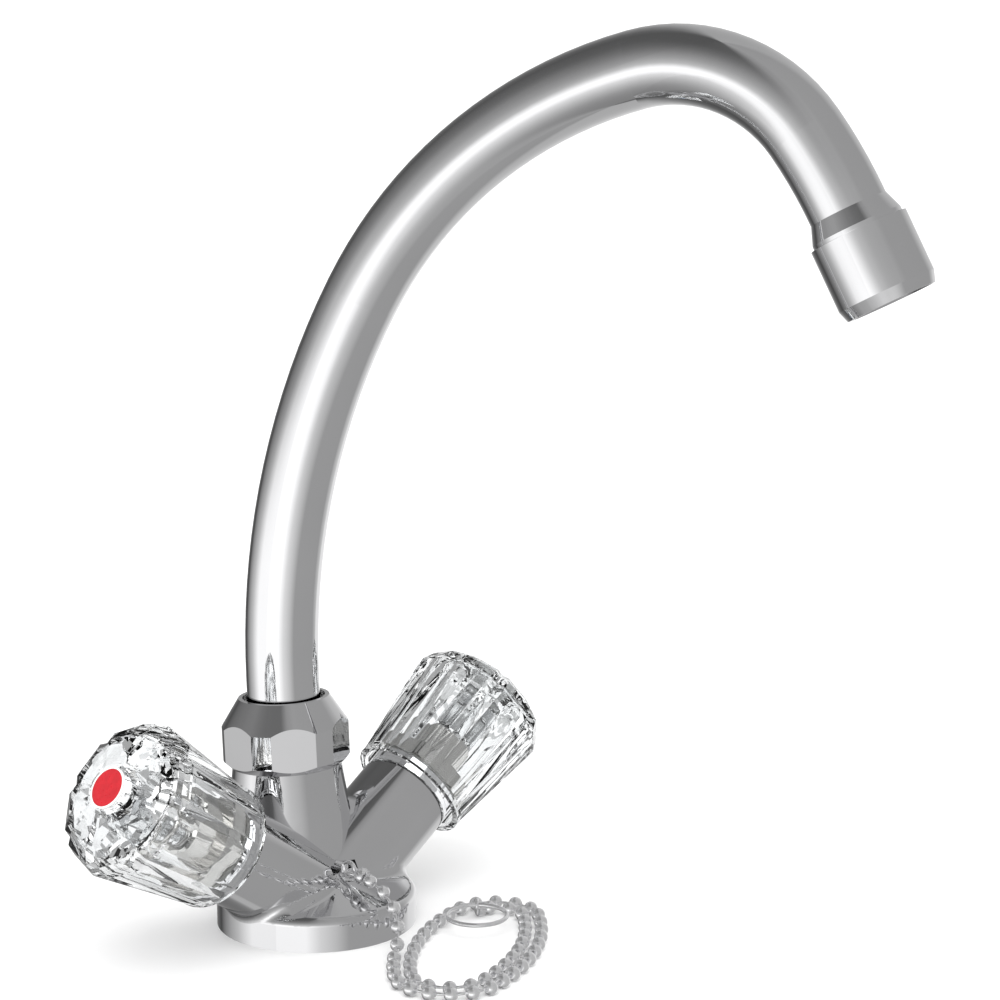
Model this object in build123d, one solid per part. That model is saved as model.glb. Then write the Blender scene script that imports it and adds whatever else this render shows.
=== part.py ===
from build123d import *
import math
import os

# Two-handle basin mixer: a round-based brass body with two rising valve arms,
# a swivelling swan-neck spout held by a hexagonal nut, an outlet with an
# aerator, two clear crystal handles and a ball chain with its plug ring.
#
# Frame: origin at the centre of the base's underside, +Z up, -Y to the front.
# The hot arm rises towards -X and the cold arm towards +X. Millimetres.
# "rise" values run along a piece's own axis from the point its frame starts at.

# How far a cut runs past the face it opens
overcut = 1.0

# Base skirt
base_radius = 27.3
base_wall_height = 7.0
skirt_shoulder_radius = 2.5
skirt_crown_slope = 18.0
gasket_outer_radius = 25.4
gasket_width = 3.8
gasket_thickness = 1.5

# Arms
arm_rise_angle = 34.0
arm_cross_height = 5.2
arm_radius = 13.4
arm_root = 8.0
arm_root_fillet = 3.0
arm_length = 46.0
arm_edge_break = 0.6
chamber_radius = 9.0
chamber_depth = 22.0
seat_height = 3.0
seat_outer_radius = 6.4
feed_radius = 3.6
feed_start = 9.0
headwork_thread_radius = 10.4
thread_clearance = 0.05
headwork_thread_length = 10.0

# Column and swivel
column_offset = 9.2
column_lean = 3.0
column_top_radius = 15.0
column_flare = 0.128
column_height = 41.9
column_foot_depth = 4.0
column_limit_rise = 10.0
column_back_inset = 0.8
neck_radius = 13.2
neck_top = 52.0
neck_root = 5.0
swivel_bore_radius = 9.58
swivel_bore_floor = 28.0
mixing_port_radius = 3.2

# Deck side
inlet_spacing = 21.0
inlet_radius = 4.5
inlet_offset = 2.5
inlet_length = 12.0
stud_radius = 3.4
stud_length = 9.0

# Swivel nut
nut_bottom = 42.0
nut_top = 60.9
nut_across_flats = 32.6
nut_corner_radius = 17.4
nut_rim_radius = 12.5
nut_cone_foot = 53.2
nut_chamfer = 2.0
nut_chamfer_radius = 15.3
nut_bore_radius = 11.3
nut_thread_clearance = 0.08
nut_wall_top = 56.5
nut_turn = -4.0

# Spout
spout_swing = 22.5
tube_radius = 10.0
tube_wall = 1.5
spout_lead_top = 65.6
spout_bends = [(202.4, 31.1), (119.5, 47.1), (41.1, 67.8), (128.8, 9.6)]
collar_tail_radius = 9.5
collar_tail_foot = 30.0
collar_flange_radius = 12.6
collar_flange_height = 2.6
collar_spigot_height = 7.0
collar_bore_radius = 7.0
axial_play = 0.1
tail_ring_rises = (35.0, 43.0)
tail_ring_section = 0.9
tail_ring_proud = 0.05
tail_groove_width = 2.4
tail_groove_depth = 1.75
slip_ring_thickness = 1.6
slip_ring_bore = 10.4

# Outlet
ferrule_height = 4.6
ferrule_foot_radius = 11.7
ferrule_land = 1.0
ferrule_spigot_radius = 10.9
ferrule_spigot_length = 7.0
ferrule_spigot_wall = 2.0
shell_radius = 12.6
shell_gap = 0.15
shell_length = 19.2
shell_bore_radius = 11.0
shell_chamfer_length = 3.0
shell_mouth_radius = 11.6
shell_lip_radius = 11.1
shell_ledge_radius = 9.8
shell_ledge_thickness = 1.0
shell_ledge_depth = 1.5
aerator_washer_thickness = 2.2
aerator_fit = 0.2
aerator_insert_height = 6.4
aerator_hole_radius = 1.1
aerator_hole_counts = (8, 14)
aerator_hole_circles = (4.2, 7.8)
screen_thickness = 0.7
screen_pitch = 1.8
screen_bar = 0.5
screen_border = 1.2

# Handles
handle_overhang = 3.3
handle_rim_radius = 17.0
handle_rim_height = 1.8
handle_rim_groove = 0.35
handle_flare_radius = 21.0
handle_flare_height = 31.1
handle_flare_groove = 1.6
handle_shoulder_radius = 19.4
handle_shoulder_height = 3.8
handle_shoulder_groove = 1.5
handle_plateau_radius = 15.8
handle_plateau_height = 2.6
handle_plateau_groove = 1.1
handle_face_radius = 6.9
handle_face_height = 2.3
handle_face_groove = 0.3
handle_petals = 8
handle_groove_angle = 15.0
handle_turn = 4.0
handle_cavity_radius = 15.3
handle_end_wall = 7.0
handle_boss_radius = 6.6
handle_boss_lift = 1.0
handle_socket_room = 0.4
handle_web = 0.9
screw_head_radius = 3.6
screw_head_height = 2.6
screw_shank_radius = 1.9
screw_shank_length = 12.0
screw_slot_width = 0.9
screw_slot_depth = 1.1
screw_clearance = 0.15
screw_thread_clearance = 0.05

# Index button and colour disc
button_radius = 5.6
button_depth = 3.7
button_proud = 0.5
button_clearance = 0.1
disc_radius = 5.05
disc_thickness = 0.8
disc_clearance = 0.05

# Headwork
bonnet_hex_across_flats = 24.0
headwork_seal_thickness = 1.0
bonnet_hex_height = 5.2
bonnet_hex_blank_radius = 15.4
bonnet_hex_chamfer_radius = 11.4
bonnet_hex_chamfer = 1.5
bonnet_neck_radius = 8.6
bonnet_height = 14.8
bonnet_neck_chamfer = 0.8
bonnet_guide_across_flats = 12.2
bonnet_guide_rise = 2.2
bonnet_shoulder_room = 2.8
bonnet_shoulder_radius = 5.9
headwork_seal_radius = 12.6
headwork_seal_clearance = 0.2
spindle_radius = 4.0
spindle_fit = 0.05
spindle_shoulder_radius = 5.6
spindle_shoulder_height = 2.4
spindle_shoulder_play = 0.2
spindle_thread_radius = 3.0
spindle_foot_room = 0.4
spindle_plain_length = 2.4
spindle_spline_length = 7.8
spindle_teeth = 20
spindle_tooth_depth = 0.45
spindle_tooth_tip_share = 0.32
spindle_screw_bore_depth = 13.0
spindle_groove_drop = 6.8
spindle_groove_width = 2.0
spindle_groove_depth = 1.2
spindle_ring_section = 0.56
spindle_ring_lift = 0.02
clip_thickness = 0.7
clip_outer_radius = 5.8
clip_groove_depth = 0.6
clip_opening = 3.2
clip_clearance = 0.03

# Jumper
jumper_washer_radius = 7.6
jumper_washer_thickness = 3.4
jumper_washer_bore = 2.3
jumper_lift_gap = 0.1
jumper_disc_radius = 8.6
jumper_disc_thickness = 2.0
jumper_stem_across_flats = 11.8
jumper_top_room = 0.2
jumper_bore_radius = 3.08
jumper_bore_depth = 12.4
jumper_travel = 3.0
jumper_screw_head_radius = 3.4
jumper_screw_head_height = 1.6
jumper_screw_radius = 1.9
jumper_screw_clearance = 0.05
jumper_screw_end_gap = 0.3
jumper_screw_slot_width = 0.9
jumper_screw_slot_depth = 0.7

# Chain
ball_diameter = 3.8
chain_lead_points = [
    (0, -19.5, 16.0),
    (0, -29.7, 13.7),
    (-3.5, -36.4, 5.1),
    (-9.9, -40.7, 1.9),
    (-14.1, -44.9, 1.9),
]
coil_end_radius = 14.1
coil_side_radius = 78.0
coil_end_sweep = 140.0
coil_side_sweep = 40.0
coil_entry_sweep = 6.0
coil_last_sweep = 110.0
coil_half_turns = 3
coil_half_pitch = 2.17
eye_height = 17.0
eye_reach = 13.4
eye_ring_radius = 2.0
eye_wire_radius = 0.6
eye_stem_radius = 1.4
eye_stem_depth = 6.0
eye_slot_width = 9.0
eye_slot_height = 2.2
eye_slot_reach = 10.6
eye_slot_depth = 2.2
eye_stem_clearance = 0.05
coupling_loop_radius = 1.7
coupling_loop_wire = 0.45
coupling_bell_radius = 2.35
coupling_bell_back = 1.2
coupling_pocket_depth = 3.0
coupling_pocket_clearance = 0.05
ring_radius = 8.2
ring_bearing = 224.0
ring_wire_radius = 0.6
ring_lift = 0.05
hook_wire_radius = 0.45
hook_loop_radius = 1.3
hook_link_length = 3.4
hook_link_inset = 0.78
hook_bell_length = 1.8


def turned(points, angle=360):
    """A solid of revolution about Z from a closed outline of (radius, rise) points."""
    outline = Wire.make_polygon([(r, 0, z) for r, z in points], close=True)
    return revolve(Face(outline), Axis.Z, angle)


def washer(inner, outer, foot, top):
    """A plain ring between two rises."""
    return turned([(inner, foot), (outer, foot), (outer, top), (inner, top)])


def rod(radius, foot, top):
    """A plain cylinder between two rises."""
    return Pos(0, 0, foot) * extrude(Circle(radius), top - foot)


def prism(across_flats, sides, foot, top, turn=0):
    """A regular prism, with a flat facing the turn angle."""
    corner = across_flats / 2 / math.cos(math.pi / sides)
    section = RegularPolygon(corner, sides, rotation=turn + 180 / sides)
    return Pos(0, 0, foot) * extrude(section, top - foot)


def round_ring(ring_radius_, section_radius):
    """A ring of round section, flat on XY."""
    return Torus(ring_radius_, section_radius)


def rod_between(start, end, radius):
    """A plain cylinder from one point to another."""
    start = Vector(*start)
    end = Vector(*end)
    span = end - start
    return Plane(origin=start, z_dir=span) * extrude(Circle(radius), span.length)


# Frames
swivel_frame = Location((0, column_offset, 0), (-column_lean, 0, 0))
spout_frame = swivel_frame * Location((0, 0, 0), (0, 0, spout_swing - 90))
valve_frames = {
    "hot": Location((0, 0, arm_cross_height), (0, arm_rise_angle - 90, 0)),
    "cold": Location((0, 0, arm_cross_height), (0, 90 - arm_rise_angle, 0)),
}


def point_in(frame, x, y, z):
    """A point given in a frame, as a vector in the part's frame."""
    return (frame * Location((x, y, z))).position


# Body casting
chamber_floor = arm_length - chamber_depth
seat_rise = chamber_floor + seat_height
headwork_foot = arm_length - headwork_thread_length
arm_bore_radius = headwork_thread_radius + thread_clearance


def skirt_form():
    """The round base: an upright wall, a rounded shoulder, then a low cone up to the arms."""
    slope = math.radians(skirt_crown_slope)
    shoulder_reach = base_radius - skirt_shoulder_radius

    def on_shoulder(angle):
        out = shoulder_reach + skirt_shoulder_radius * math.cos(angle)
        return Vector(out, 0, base_wall_height + skirt_shoulder_radius * math.sin(angle))

    shoulder_angle = math.pi / 2 - slope
    crown_foot = on_shoulder(shoulder_angle)
    peak = Vector(0, 0, crown_foot.Z + crown_foot.X * math.tan(slope))
    edges = [
        Line((0, 0, 0), (base_radius, 0, 0)),
        Line((base_radius, 0, 0), on_shoulder(0)),
        ThreePointArc(on_shoulder(0), on_shoulder(shoulder_angle / 2), crown_foot),
        Line(crown_foot, peak),
        Line(peak, (0, 0, 0)),
    ]
    return revolve(make_face(Curve() + edges), Axis.Z, 360)


def rooted_arm(frame):
    """The round base with one arm growing out of it, blended where they meet."""
    form = skirt_form() + frame * arm_form()
    form &= rod(4 * base_radius, 0, 4 * base_radius)
    seam = [edge for edge in form.edges() if edge.geom_type == GeomType.BSPLINE]
    return fillet(seam, arm_root_fillet)


def column_form():
    """The leaning column, kept within the base at the back, with its threaded neck."""
    foot_radius = column_top_radius + column_flare * (column_height + column_foot_depth)
    cone = turned([
        (0, -column_foot_depth),
        (foot_radius, -column_foot_depth),
        (column_top_radius, column_height),
        (0, column_height),
    ])
    cone = swivel_frame * cone
    limit = rod(base_radius - column_back_inset, 0, column_height + column_limit_rise)
    neck = swivel_frame * rod(neck_radius, column_height - neck_root, neck_top)
    return cone & limit, neck


def arm_form():
    """One arm as a plain round bar with a broken outer edge."""
    return turned([
        (0, -arm_root),
        (arm_radius, -arm_root),
        (arm_radius, arm_length - arm_edge_break),
        (arm_radius - arm_edge_break, arm_length),
        (0, arm_length),
    ])


def arm_hollow():
    """Feed passage, valve chamber with its raised seat, and headwork bore."""
    feed = rod(feed_radius, feed_start, seat_rise)
    chamber = washer(seat_outer_radius, chamber_radius, chamber_floor, seat_rise)
    room = rod(chamber_radius, seat_rise, headwork_foot)
    bore = rod(arm_bore_radius, headwork_foot - overcut, arm_length + overcut)
    return feed + chamber + room + bore


def mixing_port(side):
    """The drilled way from a valve chamber to the foot of the swivel bore."""
    target = point_in(swivel_frame, 0, 0, swivel_bore_floor + mixing_port_radius)
    rise = seat_rise + 2
    axis_point = point_in(valve_frames[side], 0, 0, rise)
    arm_axis = (point_in(valve_frames[side], 0, 0, rise + 1) - axis_point).normalized()
    towards = target - axis_point
    across = (towards - arm_axis * towards.dot(arm_axis)).normalized()
    start = axis_point + across * (chamber_radius - 2)
    return rod_between(start, target, mixing_port_radius)


def body_casting():
    column, neck = column_form()
    body = rooted_arm(valve_frames["hot"]) + rooted_arm(valve_frames["cold"])
    body += column & rod(4 * base_radius, 0, 4 * base_radius)
    body += neck
    body -= washer(gasket_outer_radius - gasket_width, gasket_outer_radius, 0, gasket_thickness)
    body -= swivel_frame * rod(swivel_bore_radius, swivel_bore_floor, neck_top + overcut)
    for side, frame in valve_frames.items():
        sign = -1 if side == "hot" else 1
        inlet = rod(inlet_radius, 0, inlet_length)
        body -= frame * arm_hollow()
        body -= mixing_port(side)
        body -= Pos(sign * inlet_spacing / 2, inlet_offset, 0) * inlet
    body -= rod(stud_radius, 0, stud_length)
    slot_floor = -eye_slot_reach + 2 * eye_slot_depth
    slot = Box(eye_slot_width, eye_reach, eye_slot_height)
    body -= Pos(0, slot_floor - eye_reach / 2, eye_height) * slot
    stem_end = -eye_slot_reach + eye_stem_depth
    body -= rod_between((0, -eye_reach, eye_height), (0, stem_end, eye_height), eye_stem_radius)
    return body


def base_gasket():
    return washer(gasket_outer_radius - gasket_width, gasket_outer_radius, 0, gasket_thickness)


# Swivel
flange_foot = neck_top + axial_play
flange_top = flange_foot + collar_flange_height
slip_ring_foot = flange_top + axial_play


def swivel_nut():
    """Hexagonal nut with a long conical shoulder, threaded below and bored for the tube."""
    inner = neck_radius + nut_thread_clearance
    turned_nut = turned([
        (inner, nut_bottom),
        (nut_chamfer_radius, nut_bottom),
        (nut_corner_radius, nut_bottom + nut_chamfer),
        (nut_corner_radius, nut_cone_foot),
        (nut_rim_radius, nut_top),
        (nut_bore_radius, nut_top),
        (nut_bore_radius, nut_wall_top),
        (inner, nut_wall_top),
    ])
    return turned_nut & prism(nut_across_flats, 6, nut_bottom - overcut, nut_top + overcut, nut_turn)


def slip_ring():
    return washer(slip_ring_bore, collar_flange_radius, slip_ring_foot, slip_ring_foot + slip_ring_thickness)


def spout_collar():
    """Turned tail with two ring grooves, a flange, and the spigot inside the tube."""
    tail = [(collar_bore_radius, collar_tail_foot), (collar_tail_radius, collar_tail_foot)]
    for rise in tail_ring_rises:
        low = rise - tail_groove_width / 2
        high = rise + tail_groove_width / 2
        floor = collar_tail_radius - tail_groove_depth
        tail += [(collar_tail_radius, low), (floor, low), (floor, high), (collar_tail_radius, high)]
    spigot_radius = tube_radius - tube_wall
    return turned(tail + [
        (collar_tail_radius, flange_foot),
        (collar_flange_radius, flange_foot),
        (collar_flange_radius, flange_top),
        (spigot_radius, flange_top),
        (spigot_radius, flange_top + collar_spigot_height),
        (collar_bore_radius, flange_top + collar_spigot_height),
    ])


def tail_ring(rise):
    ring_centre_radius = collar_tail_radius - tail_ring_section + tail_ring_proud
    return Pos(0, 0, rise) * round_ring(ring_centre_radius, tail_ring_section)


# Spout tube, drawn in its own plane: first straight up, then one bend after another
def spout_path():
    pieces = [Line((0, flange_top), (0, spout_lead_top))]
    for radius, sweep_angle in spout_bends:
        last = pieces[-1]
        pieces.append(JernArc(last @ 1, last % 1, radius, -sweep_angle))
    return Plane.XZ * (Curve() + pieces)


spout_line = spout_path()
outlet_point = spout_line @ 1
outlet_direction = spout_line % 1
outlet_frame = spout_frame * Plane(origin=outlet_point, x_dir=(0, 1, 0), z_dir=outlet_direction).location


def spout_tube():
    section = Circle(tube_radius) - Circle(tube_radius - tube_wall)
    start = Plane(origin=spout_line @ 0, z_dir=spout_line % 0)
    return sweep(start * section, path=spout_line)


# Outlet, along the flow from the tube's end
spigot_foot = ferrule_height + ferrule_land
shell_foot = spigot_foot + shell_gap
shell_mouth = shell_foot + shell_length
ledge_face = shell_mouth - shell_ledge_depth - shell_ledge_thickness
screen_foot = ledge_face - screen_thickness
insert_foot = screen_foot - aerator_insert_height
insert_radius = shell_bore_radius - aerator_fit


def spout_ferrule():
    inner = tube_radius - tube_wall
    spigot_end = spigot_foot + ferrule_spigot_length
    spigot_inner = ferrule_spigot_radius - ferrule_spigot_wall
    return turned([
        (inner, 0),
        (tube_radius, 0),
        (ferrule_foot_radius, ferrule_height),
        (ferrule_foot_radius, spigot_foot),
        (ferrule_spigot_radius, spigot_foot),
        (ferrule_spigot_radius, spigot_end),
        (spigot_inner, spigot_end),
        (inner, ferrule_height),
    ])


def aerator_shell():
    return turned([
        (shell_bore_radius, shell_foot),
        (shell_radius, shell_foot),
        (shell_radius, shell_mouth - shell_chamfer_length),
        (shell_mouth_radius, shell_mouth),
        (shell_lip_radius, shell_mouth),
        (shell_ledge_radius, shell_mouth - shell_ledge_depth),
        (shell_ledge_radius, ledge_face),
        (shell_bore_radius, ledge_face),
    ])


def aerator_washer():
    inner = ferrule_spigot_radius - ferrule_spigot_wall
    return washer(inner, insert_radius, insert_foot - aerator_washer_thickness, insert_foot)


def aerator_insert():
    """Flow straightener: a plug with two rings of holes."""
    insert = rod(insert_radius, insert_foot, screen_foot)
    for count, circle_radius in zip(aerator_hole_counts, aerator_hole_circles):
        for index in range(count):
            angle = 2 * math.pi * index / count
            hole = rod(aerator_hole_radius, insert_foot - overcut, screen_foot + overcut)
            insert -= Pos(circle_radius * math.cos(angle), circle_radius * math.sin(angle), 0) * hole
    return insert


def aerator_screen():
    """Round screen with one square hole for each step of its grid."""
    open_radius = shell_ledge_radius - screen_border
    opening = screen_pitch - screen_bar
    steps = int(open_radius / screen_pitch) + 1
    holes = []
    for i in range(-steps, steps + 1):
        for j in range(-steps, steps + 1):
            x = i * screen_pitch
            y = j * screen_pitch
            if math.hypot(abs(x) + opening / 2, abs(y) + opening / 2) < open_radius:
                holes.append(Pos(x, y) * Rectangle(opening, opening))
    section = Circle(insert_radius) - holes
    return Pos(0, 0, screen_foot) * extrude(section, screen_thickness)


# Headwork of one valve, along its arm
bonnet_hex_foot = arm_length + headwork_seal_thickness
bonnet_top = bonnet_hex_foot + bonnet_height
bonnet_guide_top = bonnet_hex_foot + bonnet_guide_rise


def headwork_bonnet():
    """Bonnet: thread, hexagon, neck, with a hexagonal guide for the jumper."""
    outer = turned([
        (0, headwork_foot),
        (headwork_thread_radius, headwork_foot),
        (headwork_thread_radius, bonnet_hex_foot),
        (bonnet_hex_blank_radius, bonnet_hex_foot),
        (bonnet_hex_blank_radius, bonnet_hex_foot + bonnet_hex_height - bonnet_hex_chamfer),
        (bonnet_hex_chamfer_radius, bonnet_hex_foot + bonnet_hex_height),
        (bonnet_neck_radius, bonnet_hex_foot + bonnet_hex_height),
        (bonnet_neck_radius, bonnet_top - bonnet_neck_chamfer),
        (bonnet_neck_radius - bonnet_neck_chamfer, bonnet_top),
        (0, bonnet_top),
    ])
    outer &= prism(bonnet_hex_across_flats, 6, headwork_foot - overcut, bonnet_top + overcut)
    guide = prism(bonnet_guide_across_flats, 6, headwork_foot - overcut, bonnet_guide_top)
    room = rod(bonnet_shoulder_radius, bonnet_guide_top - overcut, bonnet_guide_top + bonnet_shoulder_room)
    journal = rod(spindle_radius + spindle_fit, bonnet_guide_top, bonnet_top + overcut)
    return outer - guide - room - journal


def headwork_seal():
    inner = headwork_thread_radius + headwork_seal_clearance
    return washer(inner, headwork_seal_radius, arm_length, bonnet_hex_foot)


jumper_stem_top = bonnet_guide_top - jumper_travel - jumper_top_room
jumper_bore_floor = jumper_stem_top - jumper_bore_depth
shoulder_foot = bonnet_guide_top + spindle_shoulder_play
spindle_thread_foot = jumper_bore_floor + jumper_travel + spindle_foot_room
spindle_groove_rise = bonnet_top - spindle_groove_drop
clip_foot = bonnet_top + axial_play
spindle_spline_foot = bonnet_top + spindle_plain_length
spindle_top = spindle_spline_foot + spindle_spline_length


def spindle():
    """Spindle: threaded foot, shoulder, journal with ring groove, clip groove and splined end."""
    groove_floor = spindle_radius - spindle_groove_depth
    clip_floor = spindle_radius - clip_groove_depth
    clip_top = clip_foot + clip_thickness
    shaft = turned([
        (0, spindle_thread_foot),
        (spindle_thread_radius, spindle_thread_foot),
        (spindle_thread_radius, shoulder_foot),
        (spindle_shoulder_radius, shoulder_foot),
        (spindle_shoulder_radius, shoulder_foot + spindle_shoulder_height),
        (spindle_radius, shoulder_foot + spindle_shoulder_height),
        (spindle_radius, spindle_groove_rise - spindle_groove_width / 2),
        (groove_floor, spindle_groove_rise - spindle_groove_width / 2),
        (groove_floor, spindle_groove_rise + spindle_groove_width / 2),
        (spindle_radius, spindle_groove_rise + spindle_groove_width / 2),
        (spindle_radius, clip_foot),
        (clip_floor, clip_foot),
        (clip_floor, clip_top),
        (spindle_radius, clip_top),
        (spindle_radius, spindle_spline_foot),
        (0, spindle_spline_foot),
    ])
    spline_points = []
    for index in range(spindle_teeth):
        root_radius = spindle_radius - spindle_tooth_depth
        half_tip = spindle_tooth_tip_share / 2
        for share, radius in ((-half_tip, spindle_radius), (half_tip, spindle_radius), (0.5, root_radius)):
            angle = 2 * math.pi * (index + share) / spindle_teeth
            spline_points.append((radius * math.cos(angle), radius * math.sin(angle), spindle_spline_foot))
    spline_section = Face(Wire.make_polygon(spline_points, close=True))
    spline = extrude(spline_section, spindle_top - spindle_spline_foot, dir=(0, 0, 1))
    screw_bore_floor = spindle_top - spindle_screw_bore_depth
    screw_bore = rod(screw_shank_radius + screw_thread_clearance, screw_bore_floor, spindle_top + overcut)
    return shaft + spline - screw_bore


def spindle_ring():
    ring_centre_radius = spindle_radius - spindle_groove_depth + spindle_ring_section + spindle_ring_lift
    return Pos(0, 0, spindle_groove_rise) * round_ring(ring_centre_radius, spindle_ring_section)


def spindle_clip():
    """Open retaining ring in the spindle's outer groove, resting on the bonnet's end."""
    inner = spindle_radius - clip_groove_depth + clip_clearance
    clip = washer(inner, clip_outer_radius, clip_foot, clip_foot + clip_thickness)
    mouth = Box(2 * clip_outer_radius, clip_opening, 4 * clip_thickness)
    return clip - Pos(clip_outer_radius, 0, clip_foot) * mouth


washer_foot = seat_rise + jumper_lift_gap
washer_top = washer_foot + jumper_washer_thickness


def jumper():
    """Valve piston: disc over the washer and a hexagonal stem that the bonnet keeps from turning."""
    disc = rod(jumper_disc_radius, washer_top, washer_top + jumper_disc_thickness)
    stem = prism(jumper_stem_across_flats, 6, washer_top, jumper_stem_top)
    bore = rod(jumper_bore_radius, jumper_bore_floor, jumper_stem_top + overcut)
    hole_radius = jumper_screw_radius + jumper_screw_clearance
    screw_hole = rod(hole_radius, washer_top - overcut, jumper_bore_floor + overcut)
    return disc + stem - bore - screw_hole


def jumper_washer():
    return washer(jumper_washer_bore, jumper_washer_radius, washer_foot, washer_top)


def jumper_screw():
    head = rod(jumper_screw_head_radius, washer_foot - jumper_screw_head_height, washer_foot)
    shank = rod(jumper_screw_radius, washer_foot, washer_top + jumper_disc_thickness - jumper_screw_end_gap)
    slot = Box(3 * jumper_screw_head_radius, jumper_screw_slot_width, 2 * jumper_screw_slot_depth)
    slot = Pos(0, 0, washer_foot - jumper_screw_head_height) * slot
    return head + shank - slot


# Handle and what is in its end
handle_foot = arm_length - handle_overhang
handle_boss_foot = clip_foot + clip_thickness + handle_boss_lift
handle_socket_top = spindle_top + handle_socket_room
handle_flare_rise = handle_foot + handle_rim_height + handle_flare_height
handle_shoulder_rise = handle_flare_rise + handle_shoulder_height
handle_plateau_rise = handle_shoulder_rise + handle_plateau_height
handle_face_rise = handle_plateau_rise + handle_face_height
handle_cavity_top = handle_face_rise - handle_end_wall
button_foot = handle_face_rise - button_depth
button_top = handle_face_rise + button_proud


def petal_outline(radius, groove_depth, rise):
    """A closed outline with a flat and a shallow groove for each petal."""
    points = []
    for index in range(handle_petals):
        centre = handle_turn + 360 * index / handle_petals
        half = handle_groove_angle / 2
        for offset, reach in ((-half, radius), (0, radius - groove_depth), (half, radius)):
            angle = math.radians(centre + offset)
            points.append((reach * math.cos(angle), reach * math.sin(angle), rise))
    return Face(Wire.make_polygon(points, close=True))


def handle():
    """Clear handle: round rim, flaring facets, rounded shoulder, petalled end, and its sockets."""
    rings = [
        (handle_rim_radius, handle_rim_groove, handle_foot + handle_rim_height),
        (handle_flare_radius, handle_flare_groove, handle_flare_rise),
        (handle_shoulder_radius, handle_shoulder_groove, handle_shoulder_rise),
        (handle_plateau_radius, handle_plateau_groove, handle_plateau_rise),
        (handle_face_radius, handle_face_groove, handle_face_rise),
    ]
    form = rod(handle_rim_radius, handle_foot, handle_foot + handle_rim_height)
    for low, high in zip(rings, rings[1:]):
        form += loft([petal_outline(*low), petal_outline(*high)], ruled=True)
    cavity = turned([
        (0, handle_foot - overcut),
        (handle_cavity_radius, handle_foot - overcut),
        (handle_cavity_radius, handle_cavity_top),
        (handle_boss_radius, handle_cavity_top),
        (handle_boss_radius, handle_boss_foot),
        (0, handle_boss_foot),
    ])
    head_seat = handle_socket_top + handle_web
    socket = rod(spindle_radius + spindle_fit, handle_boss_foot - overcut, handle_socket_top)
    shank_hole = rod(screw_shank_radius + screw_clearance, handle_socket_top - overcut, head_seat + overcut)
    head_hole = rod(screw_head_radius + screw_clearance, head_seat, button_foot + overcut)
    button_hole = rod(button_radius + button_clearance, button_foot, button_top + overcut)
    return form - cavity - socket - shank_hole - head_hole - button_hole


def handle_screw():
    seat = handle_socket_top + handle_web
    head = rod(screw_head_radius, seat, seat + screw_head_height)
    shank = rod(screw_shank_radius, seat - screw_shank_length, seat)
    slot = Box(3 * screw_head_radius, screw_slot_width, 2 * screw_slot_depth)
    slot = Pos(0, 0, seat + screw_head_height) * slot
    return head + shank - slot


def index_button():
    """White button with a shallow recess for the colour disc."""
    recess_floor = button_top - disc_thickness - disc_clearance
    recess = rod(disc_radius + disc_clearance, recess_floor, button_top + overcut)
    return rod(button_radius, button_foot, button_top) - recess


def index_disc():
    return rod(disc_radius, button_top - disc_thickness - disc_clearance, button_top - disc_clearance)


# Chain
def rounded_route(points):
    """Straight runs joined by tangent arcs, each as large as its two runs allow."""
    points = [Vector(*point) for point in points]
    pieces = []
    start = points[0]
    for before, corner, after in zip(points, points[1:], points[2:]):
        run_in = corner - before
        run_out = after - corner
        leave = run_in.normalized()
        follow = run_out.normalized()
        turn = math.acos(max(-1, min(1, leave.dot(follow))))
        reach = 0.45 * min(run_in.length, run_out.length)
        bend_radius = reach / math.tan(turn / 2)
        inward = (follow - leave).normalized()
        middle = corner + inward * (bend_radius / math.cos(turn / 2) - bend_radius)
        arc_start = corner - leave * reach
        arc_end = corner + follow * reach
        print("chain bend radius", round(bend_radius, 1))
        pieces += [Line(start, arc_start), ThreePointArc(arc_start, middle, arc_end)]
        start = arc_end
    pieces.append(Line(start, points[-1]))
    return Curve() + pieces


def chain_tube(path):
    start = Plane(origin=path @ 0, z_dir=path % 0)
    return sweep(start * Circle(ball_diameter / 2), path=path)


def coil_path(start, direction):
    """Flat oval coil: long sides and round ends by turns, each half turn smaller than the last."""
    bends = [(coil_side_radius, coil_entry_sweep)]
    for index in range(coil_half_turns):
        shrink = index * coil_half_pitch
        bends.append((coil_end_radius - shrink, coil_end_sweep))
        bends.append((coil_side_radius - shrink, coil_side_sweep))
    bends.append((coil_end_radius - coil_half_turns * coil_half_pitch, coil_last_sweep))
    pieces = []
    for radius, sweep_angle in bends:
        pieces.append(JernArc(start, direction, radius, sweep_angle))
        start = pieces[-1] @ 1
        direction = pieces[-1] % 1
    return Curve() + pieces


def least_gap(path, samples=240, skip=14):
    """The smallest gap between the tube's turns, measured on points along its line."""
    points = [path @ (index / samples) for index in range(samples + 1)]
    gaps = []
    for first in range(len(points)):
        for second in range(first + skip, len(points)):
            gaps.append((points[first] - points[second]).length)
    return min(gaps) - ball_diameter


lead_line = rounded_route(chain_lead_points)
coil_line = coil_path(lead_line @ 1, lead_line % 1)
coil_end = coil_line @ 1
coil_end_direction = coil_line % 1
ring_rise = ball_diameter + ring_wire_radius + ring_lift
ring_direction = Vector(math.cos(math.radians(ring_bearing)), math.sin(math.radians(ring_bearing)), 0)
hook_start = coil_end + coil_end_direction * hook_bell_length
ring_near = Vector(hook_start.X, hook_start.Y, ring_rise) + ring_direction * hook_link_length
ring_centre = ring_near + ring_direction * ring_radius


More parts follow.
